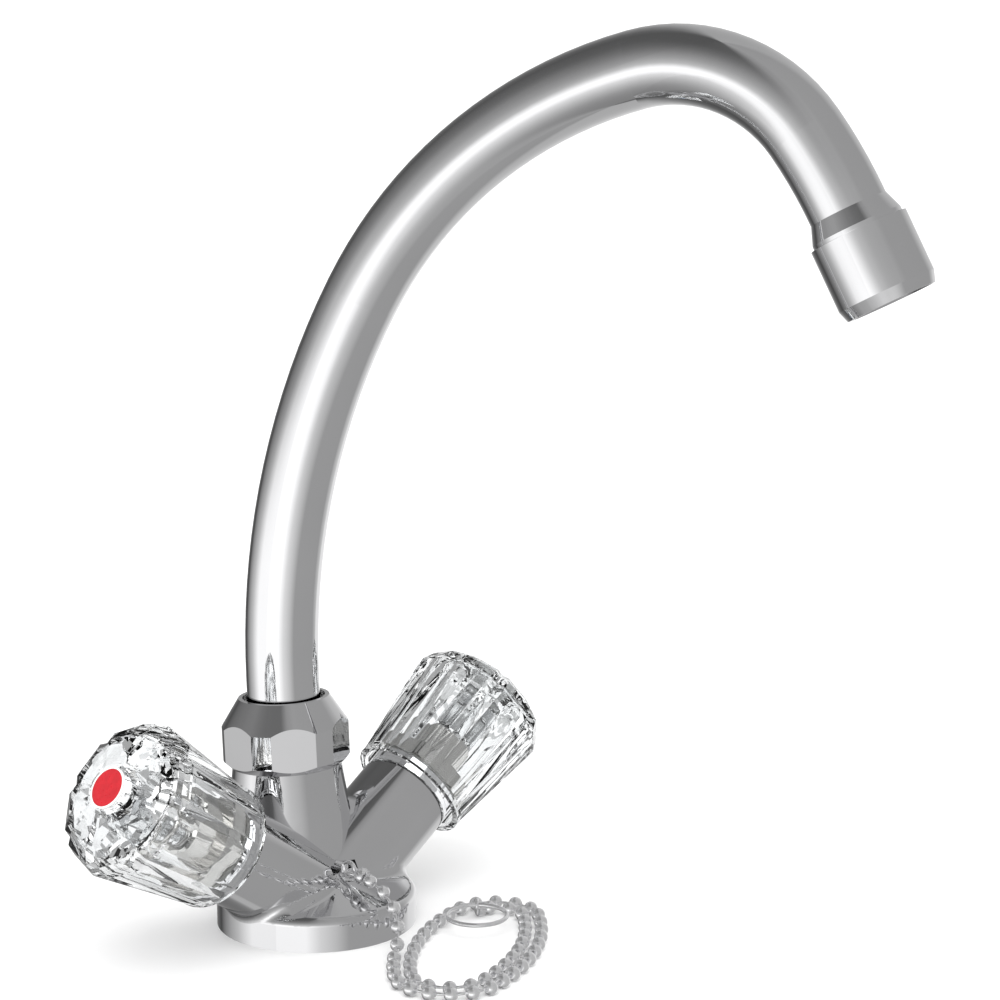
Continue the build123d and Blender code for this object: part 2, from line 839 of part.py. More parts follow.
def chain_eye():
    """Screw eye in the slot at the front of the body."""
    stem_end = -eye_slot_reach + eye_stem_depth
    stem_start = -eye_reach + eye_ring_radius
    stem_radius = eye_stem_radius - eye_stem_clearance
    stem = rod_between((0, stem_start, eye_height), (0, stem_end, eye_height), stem_radius)
    ring = Pos(0, -eye_reach, eye_height) * Rot(0, 90, 0) * round_ring(eye_ring_radius, eye_wire_radius)
    return stem + ring


def chain_coupling():
    """Loop through the eye and the bell that grips the first ball."""
    start = Vector(*chain_lead_points[0])
    direction = (Vector(*chain_lead_points[1]) - start).normalized()
    bell_centre = start + direction * (coupling_bell_back - coupling_bell_radius)
    eye_centre = Vector(0, -eye_reach, eye_height)
    loop_centre = eye_centre + (bell_centre - eye_centre).normalized() * eye_ring_radius
    loop_axis = (bell_centre - loop_centre).cross(Vector(1, 0, 0)).normalized()
    loop = Plane(origin=loop_centre, z_dir=loop_axis) * round_ring(coupling_loop_radius, coupling_loop_wire)
    bell = Pos(*bell_centre) * Sphere(coupling_bell_radius)
    pocket = extrude(Circle(ball_diameter / 2 + coupling_pocket_clearance), coupling_pocket_depth)
    pocket = Plane(origin=start, z_dir=direction) * pocket
    return loop + bell - pocket


def plug_ring():
    return Pos(*ring_centre) * round_ring(ring_radius, ring_wire_radius)


def chain_hook():
    """Bell against the last ball and a closed wire link that holds the ring."""
    reach = (ring_near - hook_start).normalized()
    side = reach.cross(Vector(0, 0, 1).cross(ring_direction)).normalized()
    near = hook_start + reach * hook_link_inset
    link_path = Curve() + [
        Line(near + side * hook_loop_radius, ring_near + side * hook_loop_radius),
        ThreePointArc(
            ring_near + side * hook_loop_radius,
            ring_near + reach * hook_loop_radius,
            ring_near - side * hook_loop_radius,
        ),
        Line(ring_near - side * hook_loop_radius, near - side * hook_loop_radius),
        ThreePointArc(
            near - side * hook_loop_radius,
            near - reach * hook_loop_radius,
            near + side * hook_loop_radius,
        ),
    ]
    start = Plane(origin=link_path @ 0, z_dir=link_path % 0)
    link = sweep(start * Circle(hook_wire_radius), path=link_path)
    return rod_between(coil_end, hook_start, ball_diameter / 2) + link


def save(shape, name):
    export_step(shape, "parts/" + name + ".step")


os.makedirs("parts", exist_ok=True)
print("coil's least gap to itself", round(least_gap(coil_line), 2))
print("chain length", round(lead_line.length + coil_line.length, 1))

save(body_casting(), "body_casting")
save(base_gasket(), "base_gasket")
save(swivel_frame * swivel_nut(), "swivel_nut")
save(swivel_frame * slip_ring(), "slip_ring")
save(spout_frame * spout_collar(), "spout_collar")
for number, rise in enumerate(tail_ring_rises):
    save(spout_frame * tail_ring(rise), "tail_o_ring_" + ("lower", "upper")[number])
save(spout_frame * spout_tube(), "spout_tube")
save(outlet_frame * spout_ferrule(), "spout_ferrule")
save(outlet_frame * aerator_shell(), "aerator_shell")
save(outlet_frame * aerator_washer(), "aerator_washer")
save(outlet_frame * aerator_insert(), "aerator_insert")
save(outlet_frame * aerator_screen(), "aerator_screen")
for side, frame in valve_frames.items():
    save(frame * headwork_bonnet(), side + "_headwork")
    save(frame * headwork_seal(), side + "_headwork_seal")
    save(frame * spindle(), side + "_spindle")
    save(frame * spindle_ring(), side + "_spindle_o_ring")
    save(frame * spindle_clip(), side + "_spindle_clip")
    save(frame * jumper(), side + "_jumper")
    save(frame * jumper_washer(), side + "_jumper_washer")
    save(frame * jumper_screw(), side + "_jumper_screw")
    save(frame * handle(), side + "_handle")
    save(frame * handle_screw(), side + "_handle_screw")
    save(frame * index_button(), side + "_index_button")
    save(frame * index_disc(), side + "_index_disc")
save(chain_eye(), "chain_eye")
save(chain_coupling(), "chain_coupling")
save(chain_tube(lead_line), "chain_lead")
save(chain_tube(coil_line), "chain_coil")
save(chain_hook(), "chain_hook")
save(plug_ring(), "plug_ring")
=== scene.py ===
"""Two-handle basin mixer with a swan-neck spout, clear handles and a ball chain."""

import math

import bmesh
import bpy
from bpy.props import FloatProperty, FloatVectorProperty, IntProperty, PointerProperty
from mathutils import Matrix, Vector


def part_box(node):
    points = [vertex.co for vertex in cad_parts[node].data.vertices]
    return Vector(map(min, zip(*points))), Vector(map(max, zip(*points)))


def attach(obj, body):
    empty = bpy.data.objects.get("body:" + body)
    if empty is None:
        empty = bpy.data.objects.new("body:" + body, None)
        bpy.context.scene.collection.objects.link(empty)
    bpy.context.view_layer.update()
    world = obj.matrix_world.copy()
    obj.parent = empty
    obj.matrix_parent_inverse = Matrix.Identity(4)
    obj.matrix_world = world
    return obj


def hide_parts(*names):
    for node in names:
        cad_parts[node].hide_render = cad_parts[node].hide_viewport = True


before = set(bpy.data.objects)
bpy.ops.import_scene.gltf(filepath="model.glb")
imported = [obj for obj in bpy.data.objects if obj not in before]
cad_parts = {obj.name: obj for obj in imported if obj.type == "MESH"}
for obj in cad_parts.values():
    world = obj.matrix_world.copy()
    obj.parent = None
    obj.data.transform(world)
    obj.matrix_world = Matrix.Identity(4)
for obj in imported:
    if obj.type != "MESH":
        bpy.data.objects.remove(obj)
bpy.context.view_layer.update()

bl_info = {
    "name": "Two-handle basin mixer",
    "version": (1, 0, 0),
    "blender": (4, 5, 0),
    "location": "3D View > Sidebar > Mixer",
    "description": "Finishes, chain, screen and studio for a two-handle basin mixer",
    "category": "Add Mesh",
}

MM = 0.001

# Turned-in lip of a ball's mouth, as shares of the mouth's radius.
LIP_REACH = 0.8
LIP_DEPTH = 0.4
BALL_BANDS = 12
PIN_SIDES = 8

# Outlet screen: how many points each wave of a wire has, the wires' sides, and
# the rim's inner and outer reach from the screen's radius.
WAVE_POINTS = 4
WIRE_SIDES = 6
RIM_SIDES = 64
RIM_INSET = 0.0004
RIM_OUTSET = 0.0005

# The handles' draw marks: their stretch along the axis and depth, and how far
# they fade out, and the end's facets in, about the height where the facets begin.
MARK_SCALE = 260.0
MARK_STRETCH = 0.06
MARK_DEPTH = 0.0008
MARK_FADE = 0.002
FACET_FADE = 0.001

# The camera, fitted to the object's edges, and the soft light from above.
CAMERA_PLACE = (-0.4406, -0.4891, 0.2361)
CAMERA_HEADING = -46.4
CAMERA_DROP = 10.3
CAMERA_LENS = 90
CAMERA_SENSOR = 36
KEY_SPREAD = 50
KEY_TURN = (28, -22)

# The plug chain leaves the coupling at the body's eye, comes down to the deck
# and lies there in an oval coil.
CHAIN_LEAD = [
    (0.0, -19.5, 16.0),
    (0.0, -29.7, 13.7),
    (-3.5, -36.4, 5.1),
    (-9.9, -40.7, 1.9),
    (-14.1, -44.9, 1.9),
]
COIL_HEADING = 225.0
COIL_ENTRY = (78.0, 6.0)
COIL_END_RADIUS = 14.1
COIL_END_SWEEP = 140.0
COIL_SIDE_RADIUS = 78.0
COIL_SIDE_SWEEP = 40.0
COIL_LAST_SWEEP = 110.0
COIL_HALF_PITCH = 2.17
COIL_HALF_TURNS = 3

# The handles' axes rise 34 degrees from the deck; this turn sets one upright.
HANDLE_TILT = 56.0

# Where the outlet sits, as the spout's own line puts it.
COLUMN_OFFSET = 9.2
COLUMN_LEAN = 3.0
SPOUT_SWING = 22.5
SPOUT_STRAIGHT_TOP = 65.6
SPOUT_BENDS = [(202.4, 31.1), (119.5, 47.1), (41.1, 67.8), (128.8, 9.6)]


class MixerMetalSettings(bpy.types.PropertyGroup):
    chrome_tone: FloatVectorProperty(
        name="Chrome tone",
        description="Reflected colour of the plated parts",
        default=(0.83, 0.83, 0.84),
        min=0.0,
        max=1.0,
        subtype="COLOR",
    )
    chrome_roughness: FloatProperty(
        name="Chrome roughness",
        description="Softness of the reflections in the plating",
        default=0.045,
        min=0.0,
        max=1.0,
        subtype="FACTOR",
    )
    brass_tone: FloatVectorProperty(
        name="Brass tone",
        description="Colour of the brass collar inside the spout",
        default=(0.80, 0.64, 0.36),
        min=0.0,
        max=1.0,
        subtype="COLOR",
    )
    chain_tone: FloatVectorProperty(
        name="Chain tone",
        description="Reflected colour of the ball chain",
        default=(0.92, 0.92, 0.93),
        min=0.0,
        max=1.0,
        subtype="COLOR",
    )


class MixerHandleSettings(bpy.types.PropertyGroup):
    crystal_tint: FloatVectorProperty(
        name="Crystal tint",
        description="Tint of the clear handles",
        default=(0.92, 0.93, 0.935),
        min=0.0,
        max=1.0,
        subtype="COLOR",
    )
    crystal_ior: FloatProperty(
        name="Crystal index",
        description="Refractive index of the clear handles",
        default=1.49,
        min=1.0,
        max=2.5,
    )
    draw_marks: FloatProperty(
        name="Draw marks",
        description="Strength of the long marks down the handles' sides",
        default=0.6,
        min=0.0,
        max=1.0,
        subtype="FACTOR",
    )
    facet_size: FloatProperty(
        name="Facet size",
        description="Width of the small facets in the handles' ends",
        default=0.006,
        min=0.0005,
        max=0.02,
        unit="LENGTH",
    )
    facet_start: FloatProperty(
        name="Facet start",
        description="How far from the body the facets begin, along a handle's axis",
        default=0.079,
        min=0.0,
        max=0.2,
        unit="LENGTH",
    )
    facet_slant: FloatProperty(
        name="Facet slant",
        description="How much the small facets lean at random",
        default=0.45,
        min=0.0,
        max=2.0,
    )
    hot_colour: FloatVectorProperty(
        name="Hot disc",
        description="Colour of the hot handle's disc",
        default=(0.56, 0.012, 0.022),
        min=0.0,
        max=1.0,
        subtype="COLOR",
    )
    cold_colour: FloatVectorProperty(
        name="Cold disc",
        description="Colour of the cold handle's disc",
        default=(0.01, 0.13, 0.30),
        min=0.0,
        max=1.0,
        subtype="COLOR",
    )


class MixerChainSettings(bpy.types.PropertyGroup):
    ball_diameter: FloatProperty(
        name="Ball diameter",
        description="Diameter of each ball of the plug chain",
        default=0.0038,
        min=0.001,
        max=0.01,
        unit="LENGTH",
    )
    ball_pitch: FloatProperty(
        name="Ball pitch",
        description="Distance from one ball to the next along the chain",
        default=0.00565,
        min=0.001,
        max=0.02,
        unit="LENGTH",
    )
    pin_diameter: FloatProperty(
        name="Pin diameter",
        description="Diameter of the pins between the balls",
        default=0.00085,
        min=0.0002,
        max=0.003,
        unit="LENGTH",
    )
    mouth_diameter: FloatProperty(
        name="Mouth diameter",
        description="Diameter of the hole where a pin enters a ball",
        default=0.0015,
        min=0.0002,
        max=0.003,
        unit="LENGTH",
    )
    ball_segments: IntProperty(
        name="Ball segments",
        description="Faces round each ball",
        default=20,
        min=8,
        max=64,
    )


class MixerOutletSettings(bpy.types.PropertyGroup):
    screen_radius: FloatProperty(
        name="Screen radius",
        description="Radius of the woven outlet screen",
        default=0.0105,
        min=0.002,
        max=0.03,
        unit="LENGTH",
    )
    screen_pitch: FloatProperty(
        name="Screen pitch",
        description="Distance between the wires of the outlet screen",
        default=0.0011,
        min=0.0003,
        max=0.004,
        unit="LENGTH",
    )
    screen_wire: FloatProperty(
        name="Screen wire",
        description="Diameter of the wires of the outlet screen",
        default=0.00034,
        min=0.0001,
        max=0.002,
        unit="LENGTH",
    )


class MixerStageSettings(bpy.types.PropertyGroup):
    floor_tone: FloatVectorProperty(
        name="Floor tone",
        description="Colour of the plain floor",
        default=(0.92, 0.92, 0.92),
        min=0.0,
        max=1.0,
        subtype="COLOR",
    )
    floor_radius: FloatProperty(
        name="Floor radius",
        description="Radius of the plain round floor",
        default=6.0,
        min=0.5,
        max=30.0,
        unit="LENGTH",
    )
    key_strength: FloatProperty(
        name="Key light",
        description="Strength of the soft light from above",
        default=1.2,
        min=0.0,
        max=20.0,
    )
    room_level: FloatProperty(
        name="Room level",
        description="Brightness of the white room that lights the floor and plastics",
        default=1.25,
        min=0.0,
        max=5.0,
    )
    glass_share: FloatProperty(
        name="White behind glass",
        description="How much of the white room is seen through the clear handles",
        default=0.3,
        min=0.0,
        max=1.0,
        subtype="FACTOR",
    )


def node(tree, kind, **values):
    made = tree.nodes.new(kind)
    for name, value in values.items():
        setattr(made, name, value)
    return made


def bare_material(name):
    """A material with only its output and a Principled shader."""
    material = bpy.data.materials.new(name)
    material.use_nodes = True
    tree = material.node_tree
    tree.nodes.clear()
    shader = node(tree, "ShaderNodeBsdfPrincipled")
    output = node(tree, "ShaderNodeOutputMaterial")
    tree.links.new(shader.outputs["BSDF"], output.inputs["Surface"])
    return material, tree, shader


def grain(tree, scale, detail=3.0, roughness=0.5):
    """Noise in the piece's own metres."""
    place = node(tree, "ShaderNodeTexCoord")
    noise = node(tree, "ShaderNodeTexNoise")
    noise.inputs["Scale"].default_value = scale
    noise.inputs["Detail"].default_value = detail
    noise.inputs["Roughness"].default_value = roughness
    tree.links.new(place.outputs["Object"], noise.inputs["Vector"])
    return noise.outputs["Fac"]


def spread(tree, source, low, high):
    """Takes a 0 to 1 value to the range from low to high."""
    span = node(tree, "ShaderNodeMapRange")
    span.inputs["From Min"].default_value = 0.3
    span.inputs["From Max"].default_value = 0.7
    span.inputs["To Min"].default_value = low
    span.inputs["To Max"].default_value = high
    tree.links.new(source, span.inputs["Value"])
    return span.outputs["Result"]


def tinted(tree, source, dark, light):
    ramp = node(tree, "ShaderNodeValToRGB")
    ramp.color_ramp.elements[0].position = 0.35
    ramp.color_ramp.elements[1].position = 0.65
    ramp.color_ramp.elements[0].color = (*dark, 1.0)
    ramp.color_ramp.elements[1].color = (*light, 1.0)
    tree.links.new(source, ramp.inputs["Fac"])
    return ramp.outputs["Color"]


def shaded(colour, factor):
    return tuple(min(1.0, channel * factor) for channel in colour)


def relief(tree, shader, source, strength, depth):
    bump = node(tree, "ShaderNodeBump")
    bump.inputs["Strength"].default_value = strength
    bump.inputs["Distance"].default_value = depth
    tree.links.new(source, bump.inputs["Height"])
    tree.links.new(bump.outputs["Normal"], shader.inputs["Normal"])


def plated_metal(name, tone, roughness, ripple=0.05, metallic=1.0):
    """Polished plating: a faint long ripple, fine wiping haze and slight tone changes."""
    material, tree, shader = bare_material(name)
    shader.inputs["Metallic"].default_value = metallic
    colour = tinted(tree, grain(tree, 35.0), shaded(tone, 0.985), shaded(tone, 1.015))
    tree.links.new(colour, shader.inputs["Base Color"])
    haze = spread(tree, grain(tree, 260.0, 5.0, 0.6), roughness * 0.7, roughness * 1.4)
    tree.links.new(haze, shader.inputs["Roughness"])
    relief(tree, shader, grain(tree, 70.0, 2.0), ripple, 0.0002)
    return material


def machined_metal(name, tone, roughness):
    """Turned metal, duller than plating, with fine tool marks and stains."""
    material, tree, shader = bare_material(name)
    shader.inputs["Metallic"].default_value = 1.0
    colour = tinted(tree, grain(tree, 180.0, 4.0), shaded(tone, 0.84), shaded(tone, 1.06))
    tree.links.new(colour, shader.inputs["Base Color"])
    marks = grain(tree, 900.0, 4.0, 0.6)
    tree.links.new(spread(tree, marks, roughness * 0.75, roughness * 1.35), shader.inputs["Roughness"])
    relief(tree, shader, marks, 0.25, 0.00006)
    return material


def clear_crystal(name, handles, tilt):
    """Moulded clear acrylic: long draw marks down its sides and small facets in its end.

    The tilt in degrees turns the handle's axis upright.
    """
    material, tree, shader = bare_material(name)
    shader.inputs["Transmission Weight"].default_value = 1.0
    shader.inputs["IOR"].default_value = handles.crystal_ior
    tint = tuple(handles.crystal_tint)
    colour = tinted(tree, grain(tree, 60.0), shaded(tint, 0.985), tint)
    tree.links.new(colour, shader.inputs["Base Color"])
    tree.links.new(spread(tree, grain(tree, 120.0, 3.0), 0.0, 0.02), shader.inputs["Roughness"])

    place = node(tree, "ShaderNodeTexCoord")
    upright = node(tree, "ShaderNodeMapping")
    upright.inputs["Rotation"].default_value = (0.0, math.radians(tilt), 0.0)
    tree.links.new(place.outputs["Object"], upright.inputs["Vector"])
    drawn = node(tree, "ShaderNodeMapping")
    drawn.inputs["Scale"].default_value = (1.0, 1.0, MARK_STRETCH)
    tree.links.new(upright.outputs["Vector"], drawn.inputs["Vector"])
    marks = node(tree, "ShaderNodeTexNoise")
    marks.inputs["Scale"].default_value = MARK_SCALE
    marks.inputs["Detail"].default_value = 1.0
    tree.links.new(drawn.outputs["Vector"], marks.inputs["Vector"])
    height = node(tree, "ShaderNodeSeparateXYZ")
    tree.links.new(upright.outputs["Vector"], height.inputs["Vector"])
    side = node(tree, "ShaderNodeMapRange")
    side.inputs["From Min"].default_value = handles.facet_start
    side.inputs["From Max"].default_value = handles.facet_start - MARK_FADE
    tree.links.new(height.outputs["Z"], side.inputs["Value"])
    side_marks = node(tree, "ShaderNodeMath", operation="MULTIPLY")
    tree.links.new(marks.outputs["Fac"], side_marks.inputs[0])
    tree.links.new(side.outputs["Result"], side_marks.inputs[1])
    bump = node(tree, "ShaderNodeBump")
    bump.inputs["Strength"].default_value = handles.draw_marks
    bump.inputs["Distance"].default_value = MARK_DEPTH
    tree.links.new(side_marks.outputs["Value"], bump.inputs["Height"])

    cells = node(tree, "ShaderNodeTexVoronoi")
    cells.inputs["Scale"].default_value = 1.0 / handles.facet_size
    tree.links.new(upright.outputs["Vector"], cells.inputs["Vector"])
    centred = node(tree, "ShaderNodeVectorMath", operation="SUBTRACT")
    centred.inputs[1].default_value = (0.5, 0.5, 0.5)
    tree.links.new(cells.outputs["Color"], centred.inputs[0])
    near_end = node(tree, "ShaderNodeMapRange")
    near_end.inputs["From Min"].default_value = handles.facet_start
    near_end.inputs["From Max"].default_value = handles.facet_start + FACET_FADE
    near_end.inputs["To Max"].default_value = handles.facet_slant
    tree.links.new(height.outputs["Z"], near_end.inputs["Value"])
    slant = node(tree, "ShaderNodeVectorMath", operation="SCALE")
    tree.links.new(centred.outputs["Vector"], slant.inputs[0])
    tree.links.new(near_end.outputs["Result"], slant.inputs["Scale"])
    leaning = node(tree, "ShaderNodeVectorMath", operation="ADD")
    tree.links.new(bump.outputs["Normal"], leaning.inputs[0])
    tree.links.new(slant.outputs["Vector"], leaning.inputs[1])
    normal = node(tree, "ShaderNodeVectorMath", operation="NORMALIZE")
    tree.links.new(leaning.outputs["Vector"], normal.inputs[0])
    tree.links.new(normal.outputs["Vector"], shader.inputs["Normal"])
    return material


def moulded_plastic(name, tone, roughness):
    material, tree, shader = bare_material(name)
    colour = tinted(tree, grain(tree, 150.0), shaded(tone, 0.96), tone)
    tree.links.new(colour, shader.inputs["Base Color"])
    grains = grain(tree, 1400.0, 3.0)
    tree.links.new(spread(tree, grains, roughness * 0.8, roughness * 1.25), shader.inputs["Roughness"])
    relief(tree, shader, grains, 0.12, 0.00004)
    return material


def printed_disc(name, tone):
    """Coloured enamel of the disc in a handle's button, under a clear coat."""
    material, tree, shader = bare_material(name)
    colour = tinted(tree, grain(tree, 500.0), shaded(tone, 0.92), shaded(tone, 1.05))
    tree.links.new(colour, shader.inputs["Base Color"])
    shader.inputs["Coat Weight"].default_value = 0.4
    shader.inputs["Coat Roughness"].default_value = 0.08
    grains = grain(tree, 1800.0, 3.0)
    tree.links.new(spread(tree, grains, 0.25, 0.4), shader.inputs["Roughness"])
    relief(tree, shader, grains, 0.08, 0.00004)
    return material


def black_rubber(name):
    material, tree, shader = bare_material(name)
    dust = grain(tree, 240.0, 5.0, 0.6)
    tree.links.new(tinted(tree, dust, (0.012, 0.012, 0.012), (0.04, 0.04, 0.04)), shader.inputs["Base Color"])
    tree.links.new(spread(tree, dust, 0.55, 0.8), shader.inputs["Roughness"])
    relief(tree, shader, grain(tree, 1500.0, 4.0), 0.3, 0.00005)
    return material


def pressed_fibre(name):
    """Pale grey fibre of the headworks' seals, flecked across."""
    material, tree, shader = bare_material(name)
    flecks = grain(tree, 1100.0, 5.0, 0.7)
    tree.links.new(tinted(tree, flecks, (0.20, 0.20, 0.19), (0.46, 0.46, 0.44)), shader.inputs["Base Color"])
    tree.links.new(spread(tree, flecks, 0.7, 0.95), shader.inputs["Roughness"])
    relief(tree, shader, flecks, 0.5, 0.00008)
    return material


def plain_floor(name, tone):
    material, tree, shader = bare_material(name)
    shader.inputs["Specular IOR Level"].default_value = 0.1
    colour = tinted(tree, grain(tree, 6.0, 4.0), shaded(tone, 0.995), tone)
    tree.links.new(colour, shader.inputs["Base Color"])
    tree.links.new(spread(tree, grain(tree, 90.0), 0.75, 0.9), shader.inputs["Roughness"])
    return material


def finish_nodes(names, material):
    """Gives CAD nodes their finish. Their shapes are right as they are."""
    for name in names:
        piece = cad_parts[name]
        piece.data.materials.clear()
        piece.data.materials.append(material)


def new_piece(name, mesh, material, slot, body, *replaced):
    piece = bpy.data.objects.new(name, mesh)
    bpy.context.scene.collection.objects.link(piece)
    mesh.materials.append(material)
    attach(piece, body)
    if replaced:
        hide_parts(*replaced)
    return piece


def smooth_mesh(form, name):
    bmesh.ops.recalc_face_normals(form, faces=form.faces)
    for face in form.faces:
        face.smooth = True
    mesh = bpy.data.meshes.new(name)
    form.to_mesh(mesh)
    form.free()
    return mesh


def loft_rings(form, rings, closed=False):
    """Skins rings of points, each with the same count, and caps the first and last."""
    rows = [[form.verts.new(point) for point in ring] for ring in rings]
    pairs = list(zip(rows, rows[1:]))
    if closed:
        pairs.append((rows[-1], rows[0]))
    for low, high in pairs:
        count = len(low)
        for index in range(count):
            after = (index + 1) % count
            form.faces.new((low[index], low[after], high[after], high[index]))
    if not closed:
        form.faces.new(reversed(rows[0]))
        form.faces.new(rows[-1])
    return rows


def ring_points(centre, across, up, radius, count):
    points = []
    for index in range(count):
        angle = 2 * math.pi * index / count
        points.append(centre + radius * (math.cos(angle) * across + math.sin(angle) * up))
    return points


def crosswise(direction):
    """Two directions at right angles to a line and to each other."""
    aside = Vector((0, 0, 1)) if abs(direction.z) < 0.9 else Vector((1, 0, 0))
    across = direction.cross(aside).normalized()
    return across, direction.cross(across).normalized()


def coil_points():
    """The chain's coil as points of its own line: ends and long sides by turns, each half turn smaller."""
    bends = [COIL_ENTRY]
    for index in range(COIL_HALF_TURNS):
        shrink = index * COIL_HALF_PITCH
        bends.append((COIL_END_RADIUS - shrink, COIL_END_SWEEP))
        bends.append((COIL_SIDE_RADIUS - shrink, COIL_SIDE_SWEEP))
    bends.append((COIL_END_RADIUS - COIL_HALF_TURNS * COIL_HALF_PITCH, COIL_LAST_SWEEP))
    place = Vector(CHAIN_LEAD[-1])
    heading = math.radians(COIL_HEADING)
    points = []
    for radius, sweep in bends:
        steps = max(2, round(math.radians(sweep) * radius / 6.0))
        turn = math.radians(sweep) / steps
        reach = 2 * radius * math.tan(turn / 2)
        for _ in range(steps):
            middle = place + Vector((math.cos(heading), math.sin(heading), 0)) * reach / 2
            points.append(middle)
            heading += turn
            place = middle + Vector((math.cos(heading), math.sin(heading), 0)) * reach / 2
    points.append(place)
    return points


def nurbs_line(points):
    """The line of a NURBS spline with these control points, in metres."""
    curve = bpy.data.curves.new("chain_route", "CURVE")
    curve.dimensions = "3D"
    spline = curve.splines.new("NURBS")
    spline.points.add(len(points) - 1)
    for target, point in zip(spline.points, points):
        target.co = (*(Vector(point) * MM), 1.0)
    spline.order_u = 3
    spline.use_endpoint_u = True
    spline.resolution_u = 16
    holder = bpy.data.objects.new("chain_route", curve)
    mesh = bpy.data.meshes.new_from_object(holder)
    line = [vertex.co.copy() for vertex in mesh.vertices]
    bpy.data.objects.remove(holder)
    bpy.data.meshes.remove(mesh)
    bpy.data.curves.remove(curve)
    return line


def along(line, distances):
    """Points at these distances along a line."""
    points = []
    travelled = 0.0
    index = 0
    for distance in distances:
        while index < len(line) - 2 and travelled + (line[index + 1] - line[index]).length < distance:
            travelled += (line[index + 1] - line[index]).length
            index += 1
        step = line[index + 1] - line[index]
        points.append(line[index] + step * (distance - travelled) / step.length)
    return points


def line_length(line):
    return sum((after - before).length for before, after in zip(line, line[1:]))


def hollow_ball(form, centre, direction, settings):
    """A pressed ball with a turned-in mouth at each end, where the pins go in."""
    radius = settings.ball_diameter / 2
    mouth = settings.mouth_diameter / 2
    first = math.asin(mouth / radius)
    lip = math.cos(first) * radius - mouth * LIP_DEPTH
    profile = [(mouth * LIP_REACH, -lip)]
    for index in range(BALL_BANDS + 1):
        angle = first + (math.pi - 2 * first) * index / BALL_BANDS
        profile.append((radius * math.sin(angle), -radius * math.cos(angle)))
    profile.append((mouth * LIP_REACH, lip))
    across, up = crosswise(direction)
    rings = [
        ring_points(centre + direction * rise, across, up, reach, settings.ball_segments)
        for reach, rise in profile
    ]
    loft_rings(form, rings)


def link_pin(form, start, end, radius):
    direction = (end - start).normalized()
    across, up = crosswise(direction)
    rings = [ring_points(point, across, up, radius, PIN_SIDES) for point in (start, end)]
    loft_rings(form, rings)


def spout_end():
    """Centre of the outlet end of the tube and the direction it points, in metres."""
    place = Vector((0.0, 0.0, SPOUT_STRAIGHT_TOP))
    angle = math.pi / 2
    for radius, sweep in SPOUT_BENDS:
        centre = place + radius * Vector((math.sin(angle), 0, -math.cos(angle)))
        angle -= math.radians(sweep)
        place = centre - radius * Vector((math.sin(angle), 0, -math.cos(angle)))
    direction = Vector((math.cos(angle), 0, math.sin(angle)))
    turn = (
        Matrix.Translation((0, COLUMN_OFFSET, 0))
        @ Matrix.Rotation(math.radians(-COLUMN_LEAN), 4, "X")
        @ Matrix.Rotation(math.radians(SPOUT_SWING - 90), 4, "Z")
    )
    return (turn @ place) * MM, (turn.to_3x3() @ direction).normalized()


def woven_screen(centre, direction, settings):
    """Wires over and under each other, cut to a round, and a rim that holds them."""
    form = bmesh.new()
    across, up = crosswise(direction)
    radius = settings.screen_radius
    pitch = settings.screen_pitch
    wire = settings.screen_wire
    rows = int(radius / pitch)
    for along_axis, over_axis, first_phase in ((across, up, 0), (up, across, 1)):
        for row in range(-rows, rows + 1):
            offset = (row + 0.5) * pitch if rows * pitch + pitch / 2 < radius else row * pitch
            if abs(offset) > radius - wire:
                continue
            reach = math.sqrt(radius * radius - offset * offset)
            steps = max(2, int(2 * reach / pitch * WAVE_POINTS))
            rings = []
            for step in range(steps + 1):
                run = -reach + 2 * reach * step / steps
                phase = math.pi * (run / pitch + row + first_phase)
                lift = math.sin(phase) * wire * 0.5
                spot = centre + along_axis * run + over_axis * offset + direction * lift
                rings.append(ring_points(spot, over_axis, direction, wire / 2, WIRE_SIDES))
            loft_rings(form, rings)
    inner = radius - RIM_INSET
    outer = radius + RIM_OUTSET
    band = [(inner, -wire), (outer, -wire), (outer, wire), (inner, wire)]
    rim = []
    for index in range(RIM_SIDES):
        angle = 2 * math.pi * index / RIM_SIDES
        outward = math.cos(angle) * across + math.sin(angle) * up
        rim.append([centre + outward * reach + direction * rise for reach, rise in band])
    loft_rings(form, rim, closed=True)
    return smooth_mesh(form, "outlet_screen")


class MIXER_OT_dress_body(bpy.types.Operator):
    """Plates the body casting and the swivel nut, and finishes the gasket under the base"""

    bl_idname = "mixer.dress_body"
    bl_label = "Dress the body"

    def execute(self, context):
        metal = context.scene.mixer_metal
        chrome = plated_metal("body_chrome", metal.chrome_tone, metal.chrome_roughness, 0.08)
        finish_nodes(["body_casting", "swivel_nut"], chrome)
        finish_nodes(["base_gasket"], black_rubber("gasket_rubber"))
        return {"FINISHED"}


class MIXER_OT_dress_spout(bpy.types.Operator):
    """Plates the spout and finishes the parts it turns on"""

    bl_idname = "mixer.dress_spout"
    bl_label = "Dress the spout"

    def execute(self, context):
        metal = context.scene.mixer_metal
        chrome = plated_metal("spout_chrome", metal.chrome_tone, metal.chrome_roughness)
        finish_nodes(["spout_tube"], chrome)
        finish_nodes(["spout_collar"], machined_metal("collar_brass", metal.brass_tone, 0.25))
        finish_nodes(["slip_ring"], moulded_plastic("slip_nylon", (0.88, 0.88, 0.86), 0.4))
        rubber = black_rubber("tail_ring_rubber")
        finish_nodes(["tail_o_ring_lower", "tail_o_ring_upper"], rubber)
        return {"FINISHED"}


